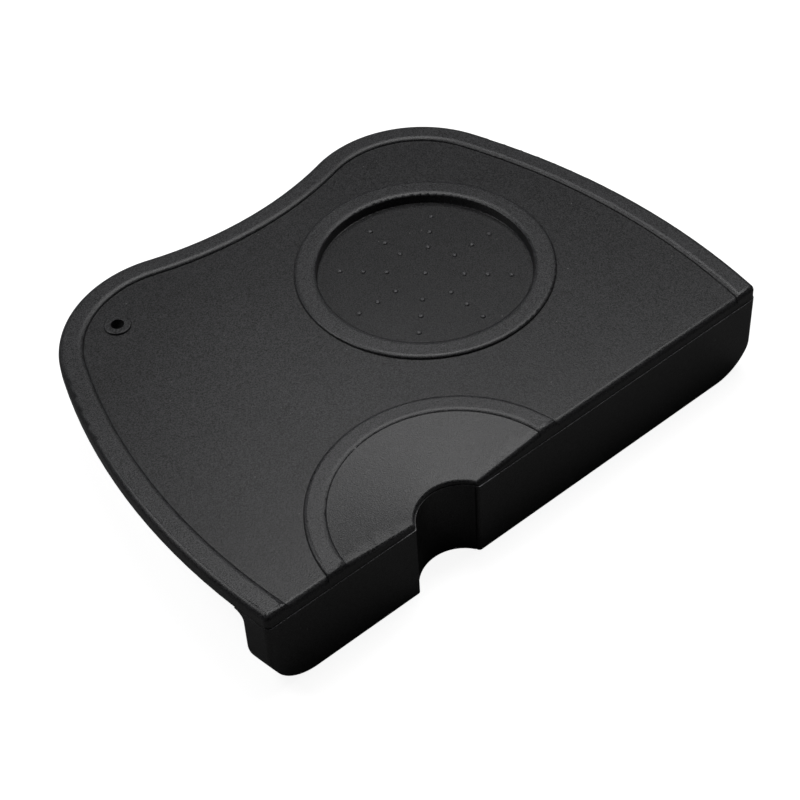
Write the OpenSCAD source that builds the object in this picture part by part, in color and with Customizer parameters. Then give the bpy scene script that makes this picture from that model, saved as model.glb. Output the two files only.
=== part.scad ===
// Corner tamper mat in soft moulded rubber.
// The flat part lies on a worktop and the lip hangs over the front edge of the worktop.
// A raised rim runs round it, a round recess with small studs holds a tamper and
// a dished half ring with a notch at the lip holds the round end of a handled basket.
// Every size is in millimetres. The lip's back face is at the front end of the reach.

/* [Outline] */
// Width of the mat at its widest line
mat_w = 203; // [190:1:220]
// Reach from the lip's back face to the back edge
mat_reach = 137.2; // [128:0.2:148]
// Radius of the long side arcs
side_r = 230.8; // [200:0.2:280]
// Distance of the widest line behind the lip
widest_y = 27.8; // [20:0.2:36]
// Radius of the two back corners
corner_r = 40.5; // [36:0.5:44]
// Depth of the hollow in the back edge
back_dip = 7.4; // [5:0.2:10]

/* [Flat part] */
// Thickness of the flat field
field_t = 4; // [3.2:0.1:5]
// Height of the rim and the rings above the field
land_h = 1.1; // [0.8:0.1:1.6]
// Width of the rim
rim_w = 7.5; // [7:0.1:9]
// Rounding of the outer top edges and of the front corners
edge_r = 2; // [1.6:0.1:2.6]
// Rounding of the rim's inner top edge
rim_inner_r = 0.6; // [0.6:0.1:1.2]
// Rounding of the edges on the rings
land_edge_r = 0.8; // [0.3:0.1:0.8]

/* [Lip] */
// Thickness of the lip from front to back
lip_t = 9.7; // [8.5:0.1:12]
// Drop of the lip below the worktop
lip_drop = 28.8; // [24:0.2:36]
// Radius of the lip's two bottom corners
lip_corner_r = 15; // [10:0.5:18]
// Fillet between the lip and the underside
inner_r = 3.5; // [2:0.1:5]
// Step at the mould line, where the lower half stands proud
part_step = 0.3; // [0.1:0.1:0.4]

/* [Tamper recess] */
// Sideways place of the recess
recess_x = 28.5; // [20:0.5:34]
// Distance of the recess centre behind the lip
recess_y = 70.3; // [66:0.1:74]
// Radius of the recess, for a tamper base of 58
recess_r = 35.4; // [32:0.1:37]
// Width of the ring round the recess
ring_w = 7.3; // [6:0.1:8.5]
// Thickness of the recess floor
floor_t = 1.25; // [1:0.05:1.8]
// Fillet at the foot of the recess wall
recess_foot_r = 0.4; // [0.2:0.05:0.8]
// Radius of the outer round of studs
stud_row_r = 28; // [25:0.1:29]
// Width of a stud
stud_d = 1.8; // [1.4:0.1:2.4]
// Height of a stud
stud_h = 0.5; // [0.3:0.05:0.6]

/* [Basket rest] */
// Sideways place of the half ring and the notch
rest_x = -32.3; // [-38:0.1:-28]
// Distance of the half ring's centre in front of the lip's back face
rest_front = 13.5; // [12:0.1:15]
// Inner radius of the half ring
rest_r = 37.4; // [35:0.1:40]
// Width of the half ring
rest_w = 6.8; // [5.5:0.1:8]
// Step from the half ring down to the dish at the back
dish_step = 0.5; // [0.2:0.05:0.7]
// Height of the dish at the edge of the notch
dish_low = 1.5; // [1.4:0.1:2.4]
// Rounding of the dish along the lip's front
dish_edge_r = 1.8; // [1.2:0.1:2.2]

/* [Notch] */
// Radius of the notch
notch_r = 13.5; // [11:0.1:15]
// Depth of the notch behind the lip's front
notch_depth = 7.4; // [6:0.1:7.8]
// Rounding of the notch's top edge
notch_edge_r = 0.9; // [0.6:0.1:1.3]
// Rounding of the notch's upright corners
notch_corner_r = 1.2; // [0.8:0.1:1.3]

/* [Hanging hole] */
// Sideways place of the hole
hole_x = -61; // [-64:0.5:-56]
// Distance of the hole from the top of the back edge
hole_back = 20.9; // [18:0.1:24]
// Width of the hole
hole_d = 4.4; // [3.6:0.1:5]
// Width of the raised collar
collar_d = 8.8; // [8:0.1:10]
// Height of the collar above the field
collar_h = 0.75; // [0.5:0.05:1]

/* [Hidden] */
$fn = 96;
wide_fn = 360;
fine_fn = 32;
past = 2;
// Hair by which some round tools stand out, so neighbours cross cleanly
lap = 0.01;
// Hair by which the corner arcs stand out, and the angle by which they run on past their ends
corner_lap = 0.01;
corner_lap_a = 3;

// Heights of the top faces
rim_h = field_t + land_h;
front_y = part_step - lip_t;

// Outline of one half, made of a side arc, a corner arc and half of the back hollow
half_w = mat_w / 2;
side_c = [half_w - side_r, widest_y];
corner_y = mat_reach - corner_r;
corner_c = [side_c.x + sqrt(pow(side_r - corner_r, 2) - pow(corner_y - widest_y, 2)), corner_y];
side_a = atan2(corner_c.y - side_c.y, corner_c.x - side_c.x);
hollow_rise = corner_r - back_dip;
hollow_r = (pow(corner_c.x, 2) + pow(hollow_rise, 2) - pow(corner_r, 2)) / (2 * back_dip);
hollow_c = [0, mat_reach - back_dip + hollow_r];
hollow_a = atan2(hollow_c.y - corner_c.y, -corner_c.x);
front_a = asin((front_y - past - widest_y) / (side_r - rim_w));

// Rounded front corners
post_y = front_y + edge_r;
post_x = side_c.x + sqrt(pow(side_r - edge_r, 2) - pow(post_y - widest_y, 2));
post_a = atan2(post_y - side_c.y, post_x - side_c.x);

// Rings, dish and notch
recess_c = [recess_x, recess_y];
rest_c = [rest_x, -rest_front];
notch_c = [rest_x, front_y - part_step + notch_depth - notch_r];
dish_reach = rest_r + rest_c.y - notch_c.y;
dish_slope = (rim_h - dish_step - dish_low) / (dish_reach - notch_r);
dish_a = atan(dish_slope);
hole_c = [hole_x, mat_reach - hole_back];
stud_rows = [12.67 / 28 * stud_row_r, 20.31 / 28 * stud_row_r, stud_row_r];
arms = 8;

// Height of the dish at a distance from the notch's centre
function dish_z(reach) = dish_low + dish_slope * (reach - notch_r);

// Point at a distance from a centre along an angle
function ray(c, r, a) = c + r * [cos(a), sin(a)];

// Half of the field's outline, which ends hidden inside the rim
module half_plan() {
    inset = rim_w / 2;
    slack = 0.6;
    beyond = half_w + past;
    ray_y = side_c.y + (beyond - side_c.x) * tan(side_a);
    hollow_end = ray(corner_c, corner_r - inset, hollow_a);
    intersection() {
        translate(side_c)
            circle(side_r - inset - slack, $fn = wide_fn);
        polygon([[-past, front_y], [beyond, front_y], [beyond, ray_y], corner_c, [-past, corner_c.y]]);
    }
    translate(corner_c)
        circle(corner_r - inset, $fn = wide_fn);
    difference() {
        polygon([[-past, corner_c.y - past], [corner_c.x, corner_c.y - past], hollow_end,
                 [-past, hollow_end.y]]);
        translate(hollow_c)
            circle(hollow_r + inset + slack, $fn = wide_fn);
    }
}

// Section of a raised land: width along x, its two top edges rounded
module land_section(w, first_r, last_r) {
    square([w, rim_h - max(first_r, last_r)]);
    translate([first_r, 0])
        square([w - first_r - last_r, rim_h]);
    translate([first_r, rim_h - first_r])
        circle(first_r);
    translate([w - last_r, rim_h - last_r])
        circle(last_r);
    translate([w - max(last_r, 0.5 * w), 0])
        square([max(last_r, 0.5 * w), rim_h - last_r]);
}

// Section carried round a centre from one angle to the other
module swept(c, from, to) {
    translate([c.x, c.y, 0])
        rotate([0, 0, from])
            rotate_extrude(angle = to - from, $fn = wide_fn)
                children();
}

// Prism along the whole front that cuts a part back to the front face
// and rounds its top edge at a level
module front_cut(level, r) {
    translate([-mat_w, front_y, level])
        rotate([90, 0, 90])
            linear_extrude(2 * mat_w) {
                translate([-2 * rest_r, -lip_drop])
                    square([2 * rest_r, 2 * lip_drop]);
                difference() {
                    translate([-past, -r])
                        square([past + r, r + past * 3]);
                    translate([r, -r])
                        circle(r);
                }
            }
}

// Rim along the side, the corner and half of the back hollow
module half_rim() {
    swept(side_c, front_a, side_a)
        translate([side_r, 0])
            mirror([1, 0])
                land_section(rim_w, edge_r, rim_inner_r);
    swept(corner_c, side_a - corner_lap_a, hollow_a + corner_lap_a)
        translate([corner_r + corner_lap, 0])
            mirror([1, 0])
                land_section(rim_w, edge_r, rim_inner_r);
}

// Rim along the hollow of the back edge
module hollow_rim() {
    swept(hollow_c, hollow_a - 180, -hollow_a)
        translate([hollow_r, 0])
            land_section(rim_w, edge_r, rim_inner_r);
}

// Tool that rounds one upper front corner
module corner_tool() {
    far = 4 * edge_r;
    difference() {
        translate([0, 0, -past])
            linear_extrude(rim_h + 2 * past)
                polygon([[post_x, post_y], [post_x, post_y - far],
                         [post_x + far, post_y - far], ray([post_x, post_y], far, post_a)]);
        translate([post_x, post_y, -2 * past])
            cylinder(h = rim_h - edge_r + 2 * past, r = edge_r);
        translate([post_x, post_y, rim_h - edge_r])
            sphere(edge_r);
    }
}

// Whole rim with its rounded front ends
module rim() {
    difference() {
        union() {
            half_rim();
            mirror([1, 0, 0])
                half_rim();
            hollow_rim();
        }
        front_cut(rim_h, edge_r);
        corner_tool();
        mirror([1, 0, 0])
            corner_tool();
    }
}

// Flat field inside the rim, with the places of the recess and the dish left out
module field() {
    difference() {
        linear_extrude(field_t) {
            half_plan();
            mirror([1, 0])
                half_plan();
        }
        front_cut(field_t, edge_r);
        translate([recess_c.x, recess_c.y, floor_t])
            cylinder(h = rim_h, r = recess_r + ring_w / 2, $fn = wide_fn);
        translate([rest_c.x, rest_c.y, -past])
            cylinder(h = rim_h + 2 * past, r = rest_r + rest_w / 2, $fn = wide_fn);
    }
}

// Ring round the tamper recess, with a fillet at the foot of its inner wall
module recess_ring() {
    foot = [recess_r - recess_foot_r, floor_t + recess_foot_r];
    translate([recess_c.x, recess_c.y, 0])
        rotate_extrude($fn = wide_fn) {
            translate([recess_r, 0])
                land_section(ring_w, land_edge_r, land_edge_r);
            difference() {
                translate([foot.x, floor_t / 2])
                    square([2 * recess_foot_r, floor_t / 2 + recess_foot_r]);
                translate(foot)
                    circle(recess_foot_r + lap, $fn = fine_fn);
            }
        }
}

// One low round stud standing on the recess floor
module stud() {
    ball_r = (pow(stud_d / 2, 2) + pow(stud_h, 2)) / (2 * stud_h);
    rotate_extrude($fn = fine_fn)
        intersection() {
            translate([0, stud_h - ball_r])
                circle(ball_r);
            translate([0, -floor_t / 2])
                square([stud_d, floor_t / 2 + stud_h]);
        }
}

// Studs in rounds on eight arms, with one at the centre
module studs() {
    translate([recess_c.x, recess_c.y, floor_t]) {
        stud();
        for (k = [0 : arms - 1])
            for (r = stud_rows)
                rotate([0, 0, k * 360 / arms])
                    translate([r, 0, 0])
                        stud();
    }
}

// Half ring round the dish
module rest_ring() {
    difference() {
        translate([rest_c.x, rest_c.y, 0])
            rotate_extrude($fn = wide_fn)
                translate([rest_r, 0])
                    land_section(rest_w, land_edge_r, land_edge_r);
        front_cut(rim_h, edge_r);
    }
}

// Front rounding of the dish, sloped down to the notch on one side
module dish_front_cut() {
    near = notch_r;
    wide = rest_r;
    back = front_y + dish_edge_r - notch_c.y;
    near_z = dish_z(norm([near, back]));
    wide_z = dish_z(norm([wide, back]));
    tilt = atan2(wide_z - near_z, wide - near);
    translate([rest_x, front_y, near_z - near * tan(tilt)])
        rotate([0, -tilt, 0])
            rotate([90, 0, 90])
                linear_extrude(rest_r + rest_w)
                    difference() {
                        translate([-past, -dish_edge_r])
                            square([past + dish_edge_r, dish_edge_r + 2 * past]);
                        translate([dish_edge_r, -dish_edge_r])
                            circle(dish_edge_r + 5 * lap);
                    }
}

// Dished floor inside the half ring, falling towards the notch
module dish() {
    far = dish_reach + rest_w;
    difference() {
        intersection() {
            translate([notch_c.x, notch_c.y, 0])
                rotate_extrude($fn = wide_fn)
                    polygon([[0, 0], [far, 0], [far, dish_z(far)], [0, dish_z(0)]]);
            translate([rest_c.x, rest_c.y, -past])
                cylinder(h = 2 * rim_h, r = rest_r + land_edge_r, $fn = wide_fn);
            translate([-mat_w, front_y, -past])
                cube([2 * mat_w, mat_reach, 2 * rim_h]);
        }
        dish_front_cut();
        translate([2 * rest_x, 0, 0])
            mirror([1, 0, 0])
                dish_front_cut();
    }
}

// Tool that rounds one front corner of the notch, for a front face at face_y
module notch_flare(r, face_y, from, to) {
    flare = notch_corner_r;
    y = face_y + flare;
    dx = sqrt(pow(r + flare, 2) - pow(y - notch_c.y, 2));
    translate([0, 0, from])
        linear_extrude(to - from)
            difference() {
                translate([dx - 2.5 * flare, face_y - flare])
                    square([2.5 * flare, 2 * flare]);
                translate([dx, y])
                    circle(flare + lap, $fn = fine_fn);
            }
}

// Notch cylinder with its two front corners rounded
module notch_cut(r, face_y, from, to) {
    translate([notch_c.x, notch_c.y, from])
        cylinder(h = to - from, r = r);
    translate([notch_c.x, 0, 0]) {
        notch_flare(r, face_y, from, to);
        mirror([1, 0, 0])
            notch_flare(r, face_y, from, to);
    }
}

// Tool that cuts the notch out of the upper half and rounds its top edge
module notch_tool() {
    wall_r = notch_r + part_step;
    ball = [wall_r + notch_edge_r,
            dish_z(wall_r + notch_edge_r) - notch_edge_r * sqrt(1 + pow(dish_slope, 2))];
    touch = ball + notch_edge_r * [-sin(dish_a), cos(dish_a)];
    notch_cut(wall_r, front_y, -past, rim_h + past);
    translate([notch_c.x, notch_c.y, 0])
        rotate_extrude()
            difference() {
                polygon([[wall_r - past, ball.y], ball, touch, [wall_r - past, touch.y]]);
                translate(ball)
                    circle(notch_edge_r);
            }
}

// Collar round the hanging hole
module collar() {
    top = field_t + collar_h;
    r = min(land_edge_r, collar_h / 2);
    translate([hole_c.x, hole_c.y, 0])
        rotate_extrude()
            difference() {
                square([collar_d / 2, top]);
                difference() {
                    translate([collar_d / 2 - r, top - r])
                        square(2 * r);
                    translate([collar_d / 2 - r, top - r])
                        circle(r);
                }
            }
}

// Outline of the lip, proud of the upper half by the mould step
module lip_plan() {
    y = front_y - part_step;
    far = 4 * edge_r;
    difference() {
        intersection() {
            translate(side_c)
                circle(side_r + part_step, $fn = wide_fn);
            translate([0, y])
                square([mat_w, lip_t]);
        }
        polygon([[post_x, post_y], [post_x, post_y - far],
                 [post_x + far, post_y - far], ray([post_x, post_y], far, post_a)]);
    }
    translate([post_x, post_y])
        circle(edge_r + part_step);
}

// Tool that rounds one bottom corner of the lip along the side arc
module lip_corner_tool() {
    ball = [side_r + part_step - lip_corner_r, lip_corner_r - lip_drop];
    swept(side_c, front_a - 1, 0)
        difference() {
            translate([ball.x, -lip_drop - past])
                square([lip_corner_r + past, lip_corner_r + past]);
            translate(ball)
                circle(lip_corner_r + lap);
        }
}

// Half of the lip that hangs in front of the worktop
module half_lip() {
    difference() {
        translate([0, 0, -lip_drop])
            linear_extrude(lip_drop)
                lip_plan();
        lip_corner_tool();
    }
}

// Fillet between the back of the lip and the underside
module inner_fillet() {
    intersection() {
        translate([-mat_w / 2, 0, 0])
            rotate([90, 0, 90])
                linear_extrude(mat_w)
                    difference() {
                        translate([-past, -inner_r])
                            square([past + inner_r, inner_r]);
                        translate([inner_r, -inner_r])
                            circle(inner_r);
                    }
        translate([side_c.x, side_c.y, -lip_drop])
            cylinder(h = lip_drop + past, r = side_r + part_step, $fn = wide_fn);
        translate([-side_c.x, side_c.y, -lip_drop])
            cylinder(h = lip_drop + past, r = side_r + part_step, $fn = wide_fn);
    }
}

// Lip with its notch
module low_half() {
    difference() {
        union() {
            half_lip();
            mirror([1, 0, 0])
                half_lip();
            inner_fillet();
        }
        notch_cut(notch_r, front_y - part_step, -lip_drop - past, past);
    }
}

// Upper half of the moulding
module top_half() {
    difference() {
        union() {
            rim();
            field();
            recess_ring();
            studs();
            rest_ring();
            dish();
            collar();
        }
        notch_tool();
        translate([hole_c.x, hole_c.y, -past])
            cylinder(h = rim_h + 2 * past, r = hole_d / 2);
    }
}

// The mat, one moulding, placed with the middle of its underside at the origin
module mat() {
    color([0.06, 0.06, 0.065])
        translate([0, -mat_reach / 2, 0]) {
            top_half();
            low_half();
        }
}

mat();
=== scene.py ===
import bpy
import math
import bmesh
from itertools import product
from mathutils import Matrix, Vector


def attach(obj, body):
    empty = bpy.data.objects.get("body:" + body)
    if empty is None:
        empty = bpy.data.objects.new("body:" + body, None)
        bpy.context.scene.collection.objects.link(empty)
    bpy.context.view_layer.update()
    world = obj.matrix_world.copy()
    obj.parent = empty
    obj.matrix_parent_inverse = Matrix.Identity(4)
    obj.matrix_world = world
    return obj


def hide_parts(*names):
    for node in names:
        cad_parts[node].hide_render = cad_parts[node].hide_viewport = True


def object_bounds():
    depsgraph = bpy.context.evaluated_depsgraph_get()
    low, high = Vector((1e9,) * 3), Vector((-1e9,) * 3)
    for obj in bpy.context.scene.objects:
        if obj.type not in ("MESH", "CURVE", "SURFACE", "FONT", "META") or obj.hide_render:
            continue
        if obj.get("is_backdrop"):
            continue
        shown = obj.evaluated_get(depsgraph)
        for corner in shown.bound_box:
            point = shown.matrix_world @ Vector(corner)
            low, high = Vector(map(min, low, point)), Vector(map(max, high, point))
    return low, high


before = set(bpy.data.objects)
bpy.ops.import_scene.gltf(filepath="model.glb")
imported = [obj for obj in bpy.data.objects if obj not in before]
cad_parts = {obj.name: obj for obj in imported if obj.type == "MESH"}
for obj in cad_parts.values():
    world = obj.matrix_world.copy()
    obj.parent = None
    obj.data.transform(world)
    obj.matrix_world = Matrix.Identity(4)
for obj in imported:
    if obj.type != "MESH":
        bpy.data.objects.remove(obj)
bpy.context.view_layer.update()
scene = bpy.context.scene

# Rubber: colours, noise scales and shine
BLACK, DUST = (0.0305, 0.0305, 0.032, 1), (0.8, 0.8, 0.78, 1)
GRAIN_SCALE, CLOUD_SCALE, DUST_SCALE = 2600.0, 28.0, 210.0
SHINE, BUMP, BUMP_DEPTH = 0.42, 0.35, 0.0002

# Brightness of places on the moulding: factors of the field's, and shares added to it. The
# lip's and the recess floor's darkening is painted shade; the patch's, the studs' and the
# ledge's brightening is painted highlight
LAND_GAIN, LIP_SHADE_GAIN, SHEEN_PATCH_GAIN = 1.45, 0.72, 1.35
RECESS_SHADE_ADD, STUD_HIGHLIGHT_ADD, LEDGE_HIGHLIGHT_ADD = -0.22, 2.4, 7.0

# Those places in the part's frame, in metres: each pair says where a fade starts and ends
LAND_Z, LIP_Z = (0.0046, 0.005), (-0.0006, -0.0002)
SHEEN_PATCH_AT, SHEEN_PATCH_R = (-0.036, -0.018), (0.0, 0.055)
RECESS_AT, RECESS_R = (0.0285, 0.0017), (0.0330, 0.0345)
FLOOR_Z, STUD_FOOT_Z, STUD_TOP_Z = (0.0013, 0.0014), (0.0015, 0.0017), (0.0018, 0.0019)
LEDGE_Y, LEDGE_HALF = (-0.07796, -0.07794), (0.00004, 0.00006)

# Outline of the mat, as in the part's source, in metres with the lip's back face at y = 0
HALF_W, SIDE_R, WIDEST_Y = 0.1015, 0.2308, 0.0278
REACH, CORNER_R, BACK_DIP = 0.1372, 0.0405, 0.0074
SIDE_C = (HALF_W - SIDE_R, WIDEST_Y)
CORNER_Y = REACH - CORNER_R
CORNER_X = SIDE_C[0] + math.sqrt((SIDE_R - CORNER_R) ** 2 - (CORNER_Y - WIDEST_Y) ** 2)
CORNER_C = (CORNER_X, CORNER_Y)
RISE = CORNER_R - BACK_DIP
HOLLOW_R = (CORNER_X ** 2 + RISE ** 2 - CORNER_R ** 2) / (2 * BACK_DIP)
HOLLOW_C = (0.0, REACH - BACK_DIP + HOLLOW_R)

# Way from the part's frame to the outline's, along y
SHIFT = REACH / 2

# Heights, the rim's outer rounding, and where its soft shoulder starts and ends inwards
RIM_TOP, FIELD_TOP, EDGE_R = 0.0051, 0.004, 0.002
WIDE_FIRST, WIDE_FOOT = 0.006, 0.008

# Where the part's own, narrower shoulder lies, and the height below which nothing moves
OWN_FIRST, OWN_FOOT, STILL_Z = 0.00684, 0.00762, 0.001

# The two raised rings: centre, inner and outer radius, and how much wider their edges get
RINGS = (((0.0285, 0.0703), 0.0354, 0.0427, 2.5, 1.8),
         ((-0.0323, -0.0135), 0.0374, 0.0442, 2.2, 1.8))

# Their rounding in the part, and where the widening fades out by the mat's front
LAND_R, FADE_Y, FADE_LENGTH = 0.0008, -0.0085, 0.006
RING_STEP, RING_CUTS = 0.012, 3

# Slack in comparisons, distance within which points are one, and grid for finding points
HAIR, WELD, GRID = 0.00001, 2e-6, 1e7

# Shading: bends in degrees that are smooth, pull of flat and upright faces, least face area
# that counts, and how far in radians a known normal may lie from the faces'
BEND_IN, BEND_OUT = -18, 50
FLAT_PULL, UPRIGHT_PULL = 1000.0, 50.0
THIN_AREA, KNOWN_REACH = 1e-9, 0.5


def new_material(name):
    mat = bpy.data.materials.new(name)
    mat.use_nodes = True
    nodes = mat.node_tree.nodes
    nodes.clear()
    return mat, nodes, mat.node_tree.links


# Black moulded silicone: fine grain, paler raised lands, soft unevenness and specks of dust,
# with painted shade on the lip and the recess floor and painted highlights on a patch of the
# field, the studs and the ledge
def rubber_material():
    mat, nodes, links = new_material("rubber_black")

    def put(value, socket):
        if isinstance(value, (int, float)):
            socket.default_value = value
        else:
            links.new(value, socket)

    def calc(op, *values):
        n = nodes.new("ShaderNodeMath")
        n.operation = op
        for value, socket in zip(values, n.inputs):
            put(value, socket)
        return n.outputs[0]

    # Low up to the fade's start and high from its end on
    def ramp(value, fade, low, high):
        n = nodes.new("ShaderNodeMapRange")
        for v, socket in zip((value, *fade, low, high), n.inputs):
            put(v, socket)
        return n.outputs[0]

    def noise(scale, detail):
        n = nodes.new("ShaderNodeTexNoise")
        n.inputs["Scale"].default_value = scale
        n.inputs["Detail"].default_value = detail
        links.new(coord, n.inputs["Vector"])
        return n.outputs[0]

    # Distance from an upright line through a place
    def away(place):
        flat = nodes.new("ShaderNodeVectorMath")
        flat.operation = "MULTIPLY"
        links.new(coord, flat.inputs[0])
        flat.inputs[1].default_value = (1, 1, 0)
        gap = nodes.new("ShaderNodeVectorMath")
        gap.operation = "DISTANCE"
        links.new(flat.outputs[0], gap.inputs[0])
        gap.inputs[1].default_value = (*place, 0)
        return gap.outputs["Value"]

    coord = nodes.new("ShaderNodeTexCoord").outputs["Object"]
    split = nodes.new("ShaderNodeSeparateXYZ")
    links.new(coord, split.inputs[0])
    depth, height = split.outputs[1], split.outputs[2]

    # Painted shade on the recess floor and painted highlights on its studs, and a thin painted
    # highlight along the ledge in front
    in_recess = ramp(away(RECESS_AT), RECESS_R, 1.0, 0.0)
    # Painted highlight: a pale band near the studs' tops
    stud = calc("MULTIPLY", ramp(height, STUD_FOOT_Z, 0.0, STUD_HIGHLIGHT_ADD),
                ramp(height, STUD_TOP_Z, 1.0, 0.0))
    recess = calc("ADD", ramp(height, FLOOR_Z, RECESS_SHADE_ADD, 0.0), stud)
    # Painted highlight: a thin pale line along the ledge at the parting line, near the front
    # face
    ledge = ramp(calc("ABSOLUTE", height), LEDGE_HALF, LEDGE_HIGHLIGHT_ADD, 0.0)
    grain = noise(GRAIN_SCALE, 2.0)
    value = ramp(grain, (0.32, 0.68), 0.1, 1.9)
    for gain in (ramp(noise(CLOUD_SCALE, 3.0), (0.3, 0.7), 0.94, 1.06),
                 ramp(height, LAND_Z, 1.0, LAND_GAIN),
                 # Painted shade: the lip and everything below the parting line are darker
                 ramp(height, LIP_Z, LIP_SHADE_GAIN, 1.0),
                 # Painted sheen: a broad pale patch on the field where the overhead lights'
                 # reflection falls
                 ramp(away(SHEEN_PATCH_AT), SHEEN_PATCH_R, SHEEN_PATCH_GAIN, 1.0),
                 # Painted shade on the recess floor and painted highlights on its studs
                 calc("MULTIPLY_ADD", recess, in_recess, 1.0),
                 calc("MULTIPLY_ADD", ramp(depth, LEDGE_Y, 1.0, 0.0), ledge, 1.0)):
        value = calc("MULTIPLY", value, gain)

    # Specks of dust, some paler than others
    cells = nodes.new("ShaderNodeTexVoronoi")
    cells.inputs["Scale"].default_value = DUST_SCALE
    links.new(coord, cells.inputs["Vector"])
    pale = nodes.new("ShaderNodeSeparateColor")
    links.new(cells.outputs["Color"], pale.inputs[0])
    speck = calc("MULTIPLY", ramp(cells.outputs["Distance"], (0.03, 0.055), 1.0, 0.0),
                 ramp(pale.outputs[0], (0.2, 1.0), 0.0, 0.22))

    base = nodes.new("ShaderNodeMix")
    base.data_type = "RGBA"
    base.blend_type = "MULTIPLY"
    base.inputs[0].default_value = 1.0
    base.inputs[6].default_value = BLACK
    grey = nodes.new("ShaderNodeCombineColor")
    for i in range(3):
        links.new(value, grey.inputs[i])
    links.new(grey.outputs[0], base.inputs[7])
    dusty = nodes.new("ShaderNodeMix")
    dusty.data_type = "RGBA"
    links.new(speck, dusty.inputs[0])
    links.new(base.outputs[2], dusty.inputs[6])
    dusty.inputs[7].default_value = DUST

    fine = nodes.new("ShaderNodeBump")
    fine.inputs["Strength"].default_value = BUMP
    fine.inputs["Distance"].default_value = BUMP_DEPTH
    links.new(grain, fine.inputs["Height"])

    bsdf = nodes.new("ShaderNodeBsdfPrincipled")
    links.new(dusty.outputs[2], bsdf.inputs["Base Color"])
    links.new(ramp(grain, (0.3, 0.7), 0.30, 0.38), bsdf.inputs["Roughness"])
    bsdf.inputs["Specular IOR Level"].default_value = SHINE
    links.new(fine.outputs[0], bsdf.inputs["Normal"])
    out = nodes.new("ShaderNodeOutputMaterial")
    links.new(bsdf.outputs[0], out.inputs[0])
    return mat


# Above 0 where p lies to the left of the way from a to b, below 0 to the right
def side_of(p, a, b):
    return (b[0] - a[0]) * (p[1] - a[1]) - (b[1] - a[1]) * (p[0] - a[0])


# Distance of a point inwards from the outline, and the direction that leads inwards
def inwards(x, y):
    p = (abs(x), y)
    if side_of(p, HOLLOW_C, CORNER_C) < 0:
        c, r, sign = HOLLOW_C, HOLLOW_R, 1.0
    elif side_of(p, SIDE_C, CORNER_C) > 0:
        c, r, sign = CORNER_C, CORNER_R, -1.0
    else:
        c, r, sign = SIDE_C, SIDE_R, -1.0
    dx, dy = p[0] - c[0], p[1] - c[1]
    length = math.hypot(dx, dy)
    mirror = 1.0 if x >= 0 else -1.0
    return (length - r) * sign, (sign * dx / length * mirror, sign * dy / length)


def unit_or_none(*xyz):
    n = Vector(xyz)
    return n.normalized() if n.length > 0 else None


# Normal of the rim's rounded outer edge, outer wall and soft inner shoulder at a point
def rim_normal(co):
    x, y, z = co.x, co.y + SHIFT, co.z
    if z < -HAIR or y < 0.0:
        return None
    d, way = inwards(x, y)
    if d < EDGE_R + 2 * HAIR:
        out, rise = (EDGE_R - d) / EDGE_R, (z - RIM_TOP + EDGE_R) / EDGE_R
    elif WIDE_FIRST - 2 * HAIR < d < WIDE_FOOT + 2 * HAIR and z > FIELD_TOP - HAIR:
        across, high = WIDE_FOOT - WIDE_FIRST, RIM_TOP - FIELD_TOP
        out, rise = -(d - WIDE_FIRST) / across ** 2, (z - FIELD_TOP) / high ** 2
    else:
        return None
    return unit_or_none(-way[0] * out, -way[1] * out, max(rise, 0.0))


# Ring edge that a point belongs to: the point's radius, the edge's radius, the sign of the
# way into the ring, the widening, the rounding's width and the direction outwards
def ring_edge(x, y, z, soft):
    if z < RIM_TOP - LAND_R - HAIR:
        return None
    for c, r_in, r_out, k_in, k_out in RINGS:
        dx, dy = x - c[0], y - c[1]
        r = math.hypot(dx, dy)
        fade = min(1.0, max(0.0, (y - FADE_Y) / FADE_LENGTH))
        for edge, sign, k in ((r_in, 1.0, k_in), (r_out, -1.0, k_out)):
            k = 1.0 + (k - 1.0) * fade
            wide = LAND_R * (k if soft else 1.0)
            if -3 * HAIR < (r - edge) * sign < wide + 2 * HAIR:
                return r, edge, sign, k, wide, (dx / r, dy / r)
    return None


def ring_normal(co):
    found = ring_edge(co.x, co.y + SHIFT, co.z, True)
    if found is None:
        return None
    r, edge, sign, _, wide, way = found
    out = -sign * (wide - (r - edge) * sign) / wide ** 2
    rise = max(co.z - RIM_TOP + LAND_R, 0.0) / LAND_R ** 2
    return unit_or_none(way[0] * out, way[1] * out, rise)


# Place of a point on a ring's rounding: edge radius, sign, angle up the rounding, way outwards
def ring_place(co):
    found = ring_edge(co.x, co.y + SHIFT, co.z, False)
    if found is None:
        return None
    r, edge, sign, _, _, way = found
    turn = math.atan2(co.z - RIM_TOP + LAND_R, LAND_R - (r - edge) * sign)
    return edge, sign, turn, way


def grid_key(co):
    return tuple(round(x * GRID) for x in co)


# What is kept for a point, found by its own key or by a key one step beside it
def at_key(kept, co):
    own = grid_key(co)
    if own in kept:
        return kept[own]
    for step in product((-1, 0, 1), repeat=3):
        key = tuple(a + b for a, b in zip(own, step))
        if key in kept:
            return kept[key]
    return None


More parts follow.
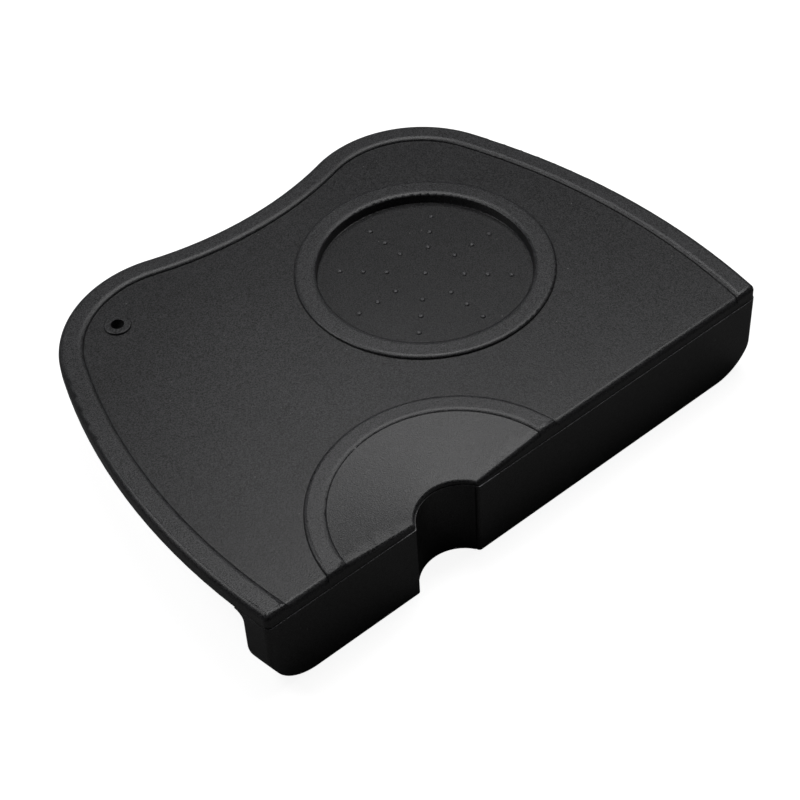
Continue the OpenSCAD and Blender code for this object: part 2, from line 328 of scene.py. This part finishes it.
# Extra points along the rings' rounded edges, each set on its true arc
def refine_rings(bm):
    places = {v: ring_place(v.co) for v in bm.verts}
    cut = []
    for e in bm.edges:
        a, b = (places[v] for v in e.verts)
        if a and b and a[0] == b[0]:
            if math.acos(min(1.0, a[3][0] * b[3][0] + a[3][1] * b[3][1])) > RING_STEP:
                cut.append(e)
    turns = {}
    for e in cut:
        a, b = e.verts
        edge, sign = places[a][:2]
        for i in range(1, RING_CUTS + 1):
            t = i / (RING_CUTS + 1)
            turn = places[a][2] * (1 - t) + places[b][2] * t
            turns[grid_key(a.co.lerp(b.co, t))] = (edge, sign, turn)
    old = set(bm.verts)
    bmesh.ops.subdivide_edges(bm, edges=cut, cuts=RING_CUTS)
    for v in bm.verts:
        found = None if v in old else at_key(turns, v.co)
        if found is None:
            continue
        edge, sign, turn = found
        c = next(ring[0] for ring in RINGS if edge in ring[1:3])
        r = edge + sign * LAND_R * (1 - math.cos(turn))
        dx, dy = v.co.x - c[0], v.co.y + SHIFT - c[1]
        length = math.hypot(dx, dy)
        v.co.x += dx / length * (r - length)
        v.co.y += dy / length * (r - length)
        v.co.z = RIM_TOP - LAND_R + LAND_R * math.sin(turn)
    bmesh.ops.triangulate(bm, faces=bm.faces)


def weld(bm):
    bmesh.ops.remove_doubles(bm, verts=bm.verts, dist=WELD)
    bmesh.ops.dissolve_degenerate(bm, edges=bm.edges, dist=WELD)
    bmesh.ops.triangulate(bm, faces=bm.faces)


# The rim's shoulder and the rings' rounded edges get their full, soft width
def soften_edges(bm):
    for v in bm.verts:
        z = v.co.z
        if z < STILL_Z:
            continue
        d, way = inwards(v.co.x, v.co.y + SHIFT)
        if OWN_FIRST < d < OWN_FOOT:
            down = min(1.0, max(0.0, (RIM_TOP - z) / (RIM_TOP - FIELD_TOP)))
            new = WIDE_FIRST + (WIDE_FOOT - WIDE_FIRST) * math.sqrt(1 - (1 - down) ** 2)
            move = new - d
        else:
            found = ring_edge(v.co.x, v.co.y + SHIFT, z, False)
            if found is None:
                continue
            r, edge, _, k, _, way = found
            move = (r - edge) * (k - 1.0)
        v.co.x += way[0] * move
        v.co.y += way[1] * move


# Pull of a face on the normals at its corners: flat faces lead, then upright ones
def pull(n):
    if max(abs(n.z), abs(n.y)) > 0.999999:
        return FLAT_PULL
    return UPRIGHT_PULL if abs(n.z) < 0.001 else 1.0


# Normal at each face corner: faces share one across smooth edges, by angle and pull, and the
# known normal of a rounded edge takes its place
def corner_normals(bm):
    pulls = [pull(f.normal) for f in bm.faces]
    smooth = []
    for e in bm.edges:
        inner = len(e.link_faces) == 2
        smooth.append(inner and
                      BEND_IN < math.degrees(e.calc_face_angle_signed(0.0)) < BEND_OUT)
    found = {}
    for v in bm.verts:
        left = {f.index: f for f in v.link_faces}
        known = rim_normal(v.co) or ring_normal(v.co)
        for f in v.link_faces:
            if known and f.calc_area() < THIN_AREA:
                found[f.index, v.index] = known
                del left[f.index]
        while left:
            group = [left.popitem()[1]]
            total = Vector((0, 0, 0))
            for f in group:
                for loop in f.loops:
                    if loop.vert is v:
                        total += f.normal * loop.calc_angle() * pulls[f.index]
                for e in f.edges:
                    if smooth[e.index] and v in e.verts:
                        for beside in e.link_faces:
                            if beside.index in left:
                                group.append(left.pop(beside.index))
            n = total.normalized() if total.length > 0 else known or Vector((0, 0, 1))
            if known and n.angle(known) < KNOWN_REACH:
                n = known
            for f in group:
                found[f.index, v.index] = n
    return [tuple(found[f.index, v.index]) for f in bm.faces for v in f.verts]


# The moulding as a piece of its own, made from the CAD node's mesh
def dressed(node, name):
    bm = bmesh.new()
    bm.from_mesh(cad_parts[node].data)
    weld(bm)
    refine_rings(bm)
    soften_edges(bm)
    weld(bm)
    for items in (bm.verts, bm.edges, bm.faces):
        items.index_update()
    bm.normal_update()
    normals = corner_normals(bm)
    mesh = bpy.data.meshes.new(name)
    mesh.from_pydata([tuple(v.co) for v in bm.verts], [],
                     [tuple(v.index for v in f.verts) for f in bm.faces])
    bm.free()
    mesh.shade_smooth()
    mesh.normals_split_custom_set(normals)
    obj = bpy.data.objects.new(name, mesh)
    scene.collection.objects.link(obj)
    return obj


rubber = rubber_material()
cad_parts["mat"].data.materials.clear()
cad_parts["mat"].data.materials.append(rubber)
body = dressed("mat", "mat_moulding")
body.data.materials.append(rubber)
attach(body, "root")
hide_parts("mat")


# Shader node of a grey level, with a strength if it shines
def shader(nodes, kind, level, strength=None):
    n = nodes.new(kind)
    n.inputs[0].default_value = (level, level, level, 1)
    if strength is not None:
        n.inputs[1].default_value = strength
    return n.outputs[0]


# One shader for the light that is thrown back, and one for what the camera sees
def by_ray(nodes, links, thrown, seen, output):
    rays = nodes.new("ShaderNodeLightPath")
    mix = nodes.new("ShaderNodeMixShader")
    links.new(rays.outputs["Is Camera Ray"], mix.inputs[0])
    links.new(thrown, mix.inputs[1])
    links.new(seen, mix.inputs[2])
    links.new(mix.outputs[0], output)


# White floor as the camera sees it, with a faint shadow, and dim in the light it throws back
FLOOR_SIZE, FLOOR_GAP = 6, 0.0002
FLOOR_DIM, FLOOR_SHADE, FLOOR_GLOW = 0.22, 0.5, 0.9


def stage():
    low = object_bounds()[0][2]
    bpy.ops.mesh.primitive_plane_add(size=FLOOR_SIZE, location=(0, 0, low - FLOOR_GAP))
    floor = bpy.context.object
    floor.name = "floor"
    mat, nodes, links = new_material("floor_white")
    add = nodes.new("ShaderNodeAddShader")
    links.new(shader(nodes, "ShaderNodeEmission", 1, FLOOR_GLOW), add.inputs[0])
    links.new(shader(nodes, "ShaderNodeBsdfDiffuse", FLOOR_SHADE), add.inputs[1])
    out = nodes.new("ShaderNodeOutputMaterial")
    by_ray(nodes, links, shader(nodes, "ShaderNodeBsdfDiffuse", FLOOR_DIM),
           add.outputs[0], out.inputs[0])
    floor.data.materials.append(mat)
    floor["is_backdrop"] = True


stage()

# Surroundings: white to the camera, and dark in the light
world = bpy.data.worlds.new("world")
scene.world = world
world.use_nodes = True
wn, wl = world.node_tree.nodes, world.node_tree.links
wn.clear()
by_ray(wn, wl, shader(wn, "ShaderNodeBackground", 1, 0.0),
       shader(wn, "ShaderNodeBackground", 1, 1.0),
       wn.new("ShaderNodeOutputWorld").inputs[0])


# Square soft box that looks at the middle of the mat
def soft_box(name, place, width, power):
    data = bpy.data.lights.new(name, "AREA")
    data.shape = "RECTANGLE"
    data.size = data.size_y = width
    data.energy = power
    obj = bpy.data.objects.new(name, data)
    scene.collection.objects.link(obj)
    obj.location = place
    aim = Vector((0, 0, 0)) - Vector(place)
    obj.rotation_euler = aim.to_track_quat("-Z", "Y").to_euler()


# The two main ones stand high behind the mat, the others fill from above and from the sides
soft_box("behind", (0.3075, 0.3943, 0.866), 0.3, 0.98)
soft_box("behind_above", (0.1591, 0.2041, 0.9659), 0.25, 1.1)
soft_box("above", (0, 0, 0.5), 0.25, 0.26)
soft_box("right_above", (0.3, 0, 0.5), 0.25, 0.66)
soft_box("left_above", (-0.3, 0.3, 0.5), 0.25, 0.85)
soft_box("left", (-0.7146, 0.5573, 0.4226), 0.3, 0.24)

# Camera solved from the photograph: focal length in pixels of an 800 pixel wide picture,
# place in metres, and its right, up and back directions
FOCAL_PX, PICTURE_PX, SENSOR = 1954.1036, 800, 36
EYE = Vector((-0.27041989, -0.36410035, 0.42949162))
RIGHT = Vector((0.75962818, -0.64891573, -0.04328284))
UP = Vector((0.48944081, 0.5265819, 0.69509654))
BACK = Vector((-0.42826711, -0.54919931, 0.71761229))
cam_data = bpy.data.cameras.new("camera")
cam = bpy.data.objects.new("camera", cam_data)
scene.collection.objects.link(cam)
stand = Matrix((RIGHT, UP, BACK)).transposed().to_4x4()
stand.translation = EYE
cam.matrix_world = stand
cam_data.sensor_fit = "HORIZONTAL"
cam_data.sensor_width = SENSOR
cam_data.lens = FOCAL_PX / PICTURE_PX * SENSOR
cam_data.clip_start = 0.01
scene.camera = cam

scene.view_settings.view_transform = "Standard"
